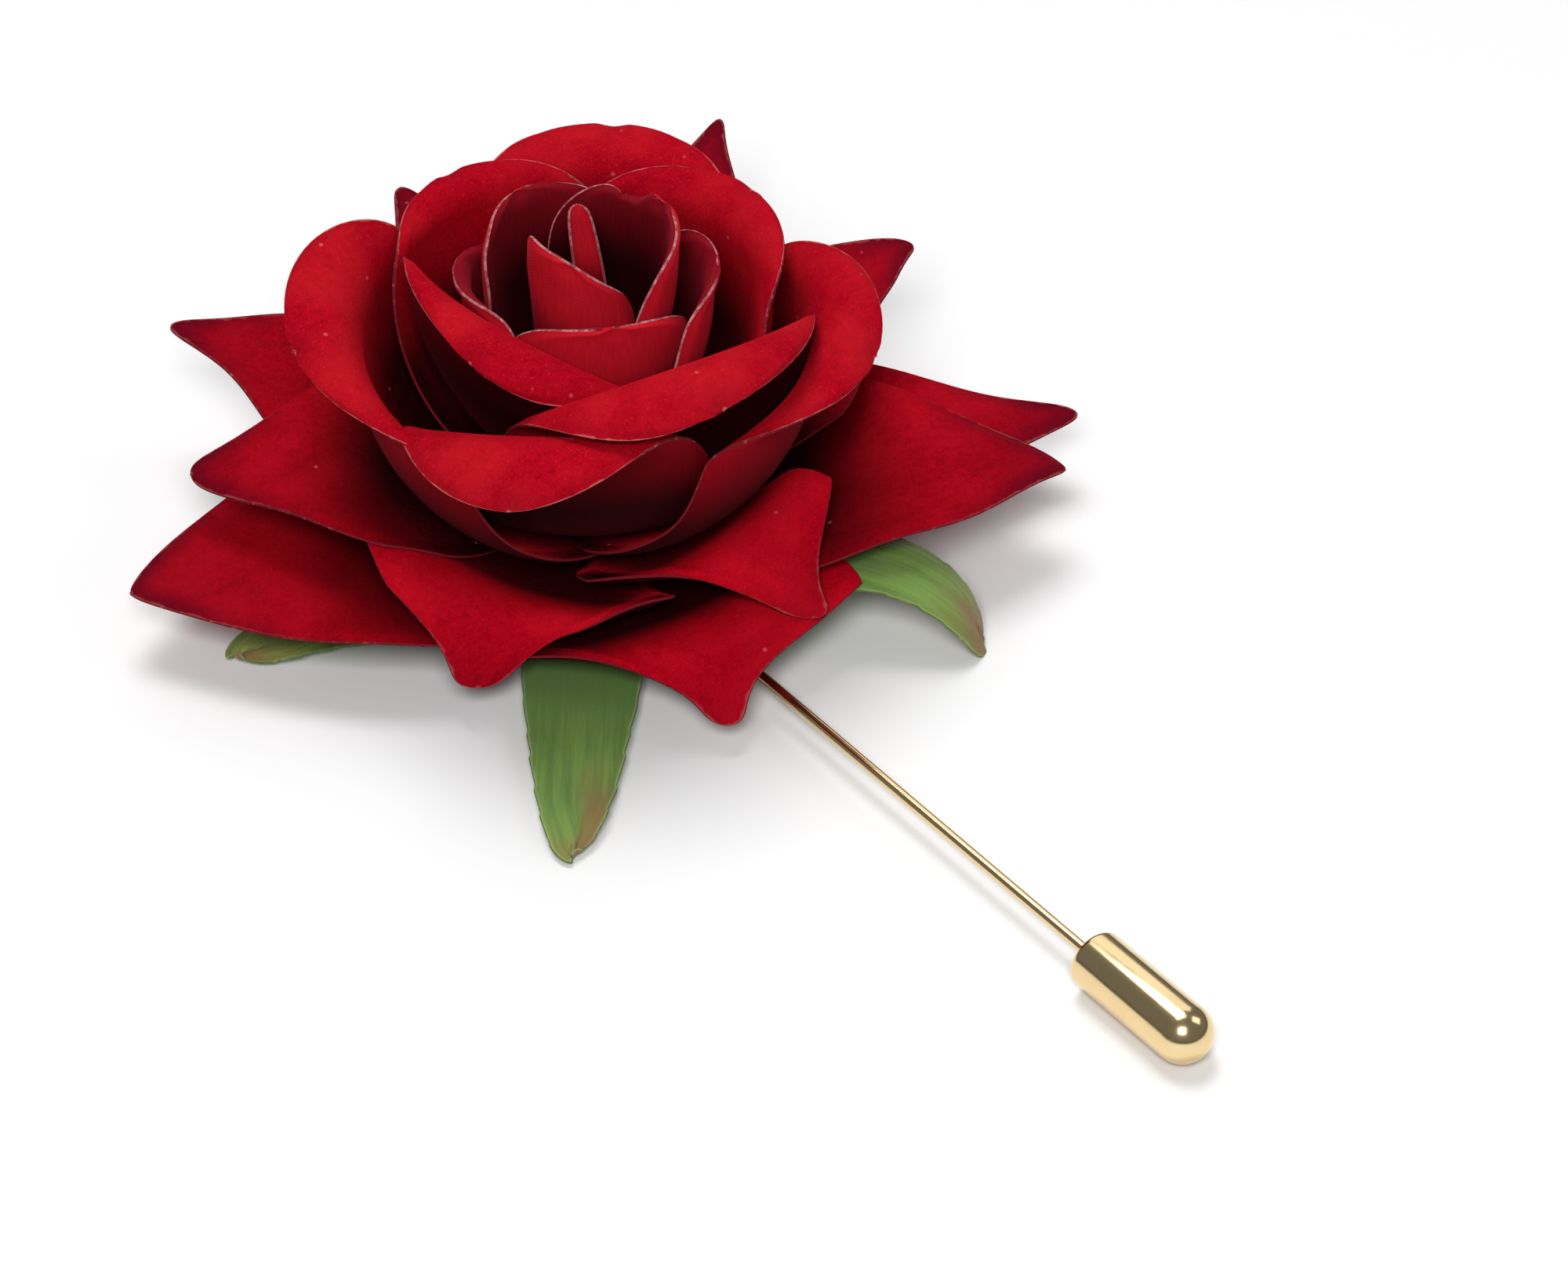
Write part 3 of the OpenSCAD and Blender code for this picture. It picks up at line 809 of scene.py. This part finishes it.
def gold(name, roughness):
    """Pale polished gold plate."""
    material, tree, shader = new_material(name)
    polish = use_group(tree, POLISH, Roughness=roughness, Marks=0.25)
    tone = mix_colour(tree, maths(tree, "MULTIPLY", polish["Tarnish"], 0.25),
                      (0.86, 0.66, 0.36, 1), (0.72, 0.5, 0.24, 1))
    tree.links.new(tone, shader["Base Color"])
    tree.links.new(polish["Roughness"], shader["Roughness"])
    tree.links.new(polish["Normal"], shader["Normal"])
    shader["Metallic"].default_value = 1.0
    return material


# Near black red of the painted shade toward the roots of the petals
ROOT_SHADE_RED = (0.012, 0.0001, 0.0006, 1)
TIP_RED = (0.085, 0.001, 0.008, 1)
CUP_TIP_RED = (0.20, 0.002, 0.010, 1)
WORN_RED = (0.62, 0.17, 0.15, 1)

VELVET = velvet("petal velvet", (0.33, 0.0004, 0.007, 1), (0.60, 0.006, 0.018, 1),
                (0.22, 0.0, 0.004, 1), (0.44, 0.76), TIP_RED, tip_amount=0.9, worn_amount=0.3)
# Painted light: a lighter copy of the petal velvet for the folded flaps that face the camera and
# the front light
LIT_FLAP_VELVET = velvet("flap velvet painted lighter", (0.43, 0.0006, 0.010, 1), (0.72, 0.010, 0.022, 1),
                     (0.30, 0.0, 0.005, 1), (0.38, 0.52), TIP_RED, tip_amount=0.4,
                     worn_amount=0.3)
CUP_VELVET = velvet("cup velvet", (0.40, 0.0007, 0.010, 1), (0.72, 0.020, 0.026, 1),
                    (0.27, 0.0, 0.004, 1), (0.50, 0.86), CUP_TIP_RED, tip_amount=0.4,
                    worn_amount=0.7)
PETAL_BACK = backing("petal backing", (0.33, 0.001, 0.009, 1), (0.25, 0.001, 0.007, 1),
                     (0.45, 0.95), roughness=0.8, sheen=0.05)
BUD_CLOTH = backing("bud cloth", (0.60, 0.010, 0.024, 1), (0.46, 0.006, 0.016, 1),
                    (0.30, 0.75), roughness=0.7, sheen=0.15)
# Painted shade: a darker copy of the bud cloth for the inner faces, in the bud's dark hollow
SHADED_BUD_INSIDE = backing("shaded bud inside", (0.26, 0.006, 0.014, 1), (0.18, 0.003, 0.009, 1),
                     (0.55, 1.05), roughness=0.7, sheen=0.10)
PALE_EDGE = cut_edge("pale cut edge", (0.43, 0.18, 0.18, 1), (0.28, 0.045, 0.055, 1), 0.7)
RED_EDGE = cut_edge("red cut edge", (0.36, 0.09, 0.09, 1), (0.15, 0.003, 0.009, 1), 0.3)
LEAF = leaf_cloth("sepal cloth", (0.19, 0.32, 0.06, 1), (0.085, 0.17, 0.03, 1),
                  (0.24, 0.095, 0.04, 1))
LEAF_EDGE = cut_edge("sepal cut edge", (0.30, 0.34, 0.14, 1), (0.10, 0.18, 0.04, 1), 0.4)
TAPE = stem_tape("stem tape")
GOLD = gold("polished gold", 0.17)

# Materials of a piece's face, back and cut edge
HEART_LOOK = (BUD_CLOTH, BUD_CLOTH, PALE_EDGE)
BUD_LOOK = (SHADED_BUD_INSIDE, BUD_CLOTH, PALE_EDGE)
CUP_LOOK = (CUP_VELVET, PETAL_BACK, RED_EDGE)
SPREAD_LOOK = (VELVET, PETAL_BACK, RED_EDGE)
LIT_FLAP_LOOK = (LIT_FLAP_VELVET, PETAL_BACK, RED_EDGE)
SEPAL_LOOK = (LEAF, LEAF, LEAF_EDGE)


# Pieces


def shares():
    """Places of the rows along a petal, closer toward its tip."""
    return 1 - (1 - np.arange(ROWS + 1) / ROWS) ** TIP_BUNCH


def ruffled(m, height, size, reach, seed):
    """Lifts the cloth in soft swells that grow toward the cut edge."""
    across, along = cloth_measures(m)
    strength = 1 - blend_in(edge_distance(m) / reach)
    rooted = blend_in(along / (RUFFLE_GROWS * along.max()))
    waves = soft_waves(across, along, size, seed)
    return m + grid_normals(m) * (height * waves * strength * rooted)[..., None]


def standing_petal(name, row, shape, size, root_r, look, ruffle, seed):
    """A petal of the bud or the cup."""
    turn, ring, layer, fold, lip, lip_end, half_width, heading, lean, rise, wrap, drop = row
    unit = size / 100
    t = shares()
    line = standing_line((root_r, layer_z(layer)), size - ring * WALL_STEP, fold * BLOOM_H / 100,
                         heading, lip * unit, lip_end, t)
    m = petal_grid(line, half_width * unit * outline(shape, t), 0 * t, wrap, t,
                   lean=lean * unit, rise=rise * unit, drop=drop * unit)
    if name in NOTCHES:
        m = notched(m, *NOTCHES[name])
    if name == "heart":
        m[..., 0] += HEART_LEAN[0] * (1 - t)[:, None]
        m[..., 1] += HEART_LEAN[1] * (1 - t)[:, None]
    m = ruffled(turned(m, turn), *ruffle, seed)
    cloth_sheet(name, m, look, t[:, None], BODY_T, seed)


def spread_petal(name, row, seed):
    """A petal that spreads outward under the cup."""
    turn, layer, run_1, run_2, run_3, headings, half_width, lean, cup, skew, shape = row
    unit = ROSE_R / 100
    t = shares()
    wrap, slant = SLANTED_FOLDS.get(name, (1, 0))
    runs = [run_1 * unit, run_2 * unit, run_3 * unit]
    widths = half_width * unit * outline(shape, t)
    side = np.linspace(-1, 1, COLUMNS + 1)[None] * (widths / widths.max())[:, None]
    s = t[:, None] * sum(runs) * (1 - slant * side)
    line = spreading_line((SPREAD_ROOT_R, layer_z(layer)), runs, headings, s)
    m = petal_grid(line, widths, skew * unit * t ** SKEW_POWER, wrap, t, lean=lean * unit,
                   cup=cup * unit, grow=CUP_POWER)
    if name in CURLS:
        m = rolled(m, t, *CURLS[name])
    m = ruffled(turned(m, turn), *SPREAD_RUFFLE, seed)
    # The folded flaps take the lighter velvet copy, which is painted light
    look = LIT_FLAP_LOOK if name in SLANTED_FOLDS else SPREAD_LOOK
    share = np.interp(s, (0, runs[0], sum(runs)), (0, 0.5, 1))
    cloth_sheet(name, m, look, share, BODY_T, seed)


def sepal(name, row, seed):
    """A green sepal with toothed sides and a bitten, slanted end."""
    turn, length, headings = row
    t = shares()
    u = np.linspace(-1, 1, COLUMNS + 1)[None]
    random = np.random.default_rng(seed)
    runs = [part * length * SEPAL_L / 100 for part in SEPAL_RUNS]
    saw = (t * random.uniform(*SEPAL_TEETH) + random.uniform(0, 1)) % 1
    toothed = blend_in((t - SEPAL_TOOTHED[0]) / (SEPAL_TOOTHED[1] - SEPAL_TOOTHED[0]))
    widths = SEPAL_W / 2 * outline(SEPAL, t) * (1 - SEPAL_TOOTH * saw * toothed)
    bite = np.maximum(1 - np.abs(u - random.uniform(*SEPAL_BITE_PLACE)) / SEPAL_BITE_WIDTH, 0)
    cut = SEPAL_BITE * (bite + SEPAL_END_SLANT * (u + 1))
    ending = blend_in((t - SEPAL_END_FROM) / (1 - SEPAL_END_FROM))
    s = t[:, None] * sum(runs) - cut * ending[:, None]
    line = spreading_line((SPREAD_ROOT_R, SEPAL_Z), runs, headings, s)
    m = petal_grid(line, widths, 0 * t, 1, t)
    m = ruffled(turned(m, turn), *SEPAL_RUFFLE, seed)
    cloth_sheet(name, m, SEPAL_LOOK, t[:, None], SEPAL_BODY_T, seed)


def make_flower():
    """All cloth pieces of the flower."""
    standing_petal("heart", HEART_STRIP, HEART, BUD_R, BUD_R - HEART_STRIP[1] * WALL_STEP,
                   HEART_LOOK, HEART_RUFFLE, 1)
    for k, row in enumerate(BUD_PETALS, 1):
        standing_petal(f"bud_petal_{k}", row, BUD, BUD_R, BUD_ROOT_R, BUD_LOOK,
                       BUD_RUFFLE, 10 + k)
    for k, row in enumerate(CUP_PETALS, 1):
        shape = ALMOND if k == FRONT_LIP else ROUND
        standing_petal(f"cup_petal_{k}", row, shape, CUP_R, CUP_ROOT_R, CUP_LOOK,
                       CUP_RUFFLE, 30 + k)
    for k, row in enumerate(SPREAD_PETALS, 1):
        spread_petal(f"spread_petal_{k}", row, 50 + k)
    for k, row in enumerate(SEPALS, 1):
        sepal(f"sepal_{k}", row, 80 + k)


def arc(centre, radius, start, end, steps):
    """Points (radius, distance) of a rounding in a turned profile."""
    return [(centre[0] + radius * math.cos(math.radians(a)),
             centre[1] + radius * math.sin(math.radians(a)))
            for a in np.linspace(start, end, steps)]


def make_pin(cap_mouth):
    """The shaft: slim in the stem, straight where it shows, pointed inside the cap."""
    radius = PIN_D / 2
    end = cap_mouth + CAP_BORE_L - BORE_SPARE
    profile = [(0, -PIN_ROOT), (radius * ROOT_SLIM, -PIN_ROOT), (radius, BACK_DISC_R + FULL_FROM),
               (radius, cap_mouth - FULL_UNTIL), (radius * SHOULDER_SLIM, end - POINT_L),
               (radius * POINT_SLIM, end - POINT_L / 2), (0, end)]
    turned_piece("pin_shaft", profile, 0, GOLD, "flower", "pin")


def make_cap(cap_mouth):
    """The bullet cap: a bore with an eased mouth, a rounded rim and a domed end."""
    outer, bore = CAP_D / 2, CAP_BORE_D / 2
    mouth = [(0, CAP_BORE_L), (bore, CAP_BORE_L), (bore, CAP_MOUTH_EASE),
             (bore + CAP_MOUTH_MIDDLE[0], CAP_MOUTH_MIDDLE[1]), (bore + CAP_MOUTH_EASE, 0)]
    rim = arc((outer - CAP_RIM_R, CAP_RIM_R), CAP_RIM_R, -90, 0, RIM_STEPS)
    dome = arc((0, CAP_L - outer), outer, 0, 90, DOME_STEPS)[:-1] + [(0, CAP_L)]
    turned_piece("cap_shell", mouth + rim + dome, cap_mouth, GOLD, "cap", "cap")


make_flower()
make_pin(PIN_REACH - CAP_L)
make_cap(PIN_REACH - CAP_L)
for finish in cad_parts["stem"].material_slots:
    finish.material = TAPE


# Studio


# Camera: where it stands round the target, and its lens, in degrees and millimetres, and
# the nearest and farthest that it sees, in metres
CAMERA_AZIMUTH, CAMERA_ELEVATION = -37.5, 40.0
CAMERA_DISTANCE = 560.0
CAMERA_TARGET = (6.55, -17.25, 0.0)
FOCAL_LENGTH, SENSOR_WIDTH = 160.27, 36.0
NEAREST_SEEN, FARTHEST_SEEN = 0.01, 20.0

# Softboxes: name, azimuth, elevation, distance, width, height, power
SOFTBOXES = [
    ("softbox over", 165, 72, 900, 420, 420, 4.3),
    ("softbox front", -40, 46, 900, 300, 260, 5.4),
    ("softbox back", 142, 40, 900, 760, 420, 1.0),
    ("softbox right", 60, 45, 900, 300, 400, 0.6),
]
# The room's light near the floor and overhead
ROOM_LOW = (0.06, 0.06, 0.06, 1)
ROOM_HIGH = (0.17, 0.17, 0.172, 1)

# Table top: half its side, and how far it lies under the flower, in metres
TABLE_HALF = 2.5
TABLE_DROP = 0.0001


def direction(azimuth, elevation):
    """Unit vector from the object toward a place round it. Azimuth 0 is in front."""
    a, e = math.radians(azimuth), math.radians(elevation)
    return Vector((math.sin(a) * math.cos(e), -math.cos(a) * math.cos(e), math.sin(e)))


def place(thing, azimuth, elevation, distance, target):
    """Sets an object down on a sphere about a target, looking at it."""
    back = direction(azimuth, elevation)
    thing.location = (Vector(target) + back * distance) * MM
    thing.rotation_euler = back.to_track_quat("Z", "Y").to_euler()
    bpy.context.scene.collection.objects.link(thing)


def make_camera():
    """The camera at the photograph's angle."""
    data = bpy.data.cameras.new("camera")
    data.lens, data.sensor_width, data.sensor_fit = FOCAL_LENGTH, SENSOR_WIDTH, "HORIZONTAL"
    data.clip_start, data.clip_end = NEAREST_SEEN, FARTHEST_SEEN
    camera = bpy.data.objects.new("camera", data)
    place(camera, CAMERA_AZIMUTH, CAMERA_ELEVATION, CAMERA_DISTANCE, CAMERA_TARGET)
    bpy.context.scene.camera = camera


def make_lights():
    """Softboxes in a pale room."""
    for name, azimuth, elevation, distance, width, height, power in SOFTBOXES:
        data = bpy.data.lights.new(name, "AREA")
        data.shape, data.energy = "RECTANGLE", power
        data.size, data.size_y = width * MM, height * MM
        place(bpy.data.objects.new(name, data), azimuth, elevation, distance, (0, 0, 0))
    world = bpy.data.worlds.new("room")
    bpy.context.scene.world = world
    world.use_nodes = True
    tree = world.node_tree
    sight = add_node(tree, "ShaderNodeTexCoord").outputs["Generated"]
    height = add_node(tree, "ShaderNodeSeparateXYZ", Vector=sight).outputs["Z"]
    colour = mix_colour(tree, ramp(tree, height, 0.02, 0.22), ROOM_LOW, ROOM_HIGH)
    tree.links.new(colour, tree.nodes["Background"].inputs["Color"])
    tree.nodes["Background"].inputs["Strength"].default_value = 1.0


def make_floor():
    """A plain pale table top."""
    signs = ((-1, -1), (1, -1), (1, 1), (-1, 1))
    corners = [(x * TABLE_HALF, y * TABLE_HALF, 0) for x, y in signs]
    mesh = bpy.data.meshes.new("floor")
    mesh.from_pydata(corners, [], [(0, 1, 2, 3)])
    material, tree, shader = new_material("table top")
    mottle = add_node(tree, "ShaderNodeTexNoise", Scale=40.0, Detail=3.0).outputs[0]
    colour = mix_colour(tree, mottle, (0.83, 0.83, 0.83, 1), (0.86, 0.86, 0.86, 1))
    tree.links.new(colour, shader["Base Color"])
    shader["Roughness"].default_value = 0.7
    mesh.materials.append(material)
    floor = bpy.data.objects.new("floor", mesh)
    floor.location = (0, 0, -TABLE_DROP)
    bpy.context.scene.collection.objects.link(floor)


make_camera()
make_lights()
make_floor()
bpy.context.scene.view_settings.view_transform = "Standard"
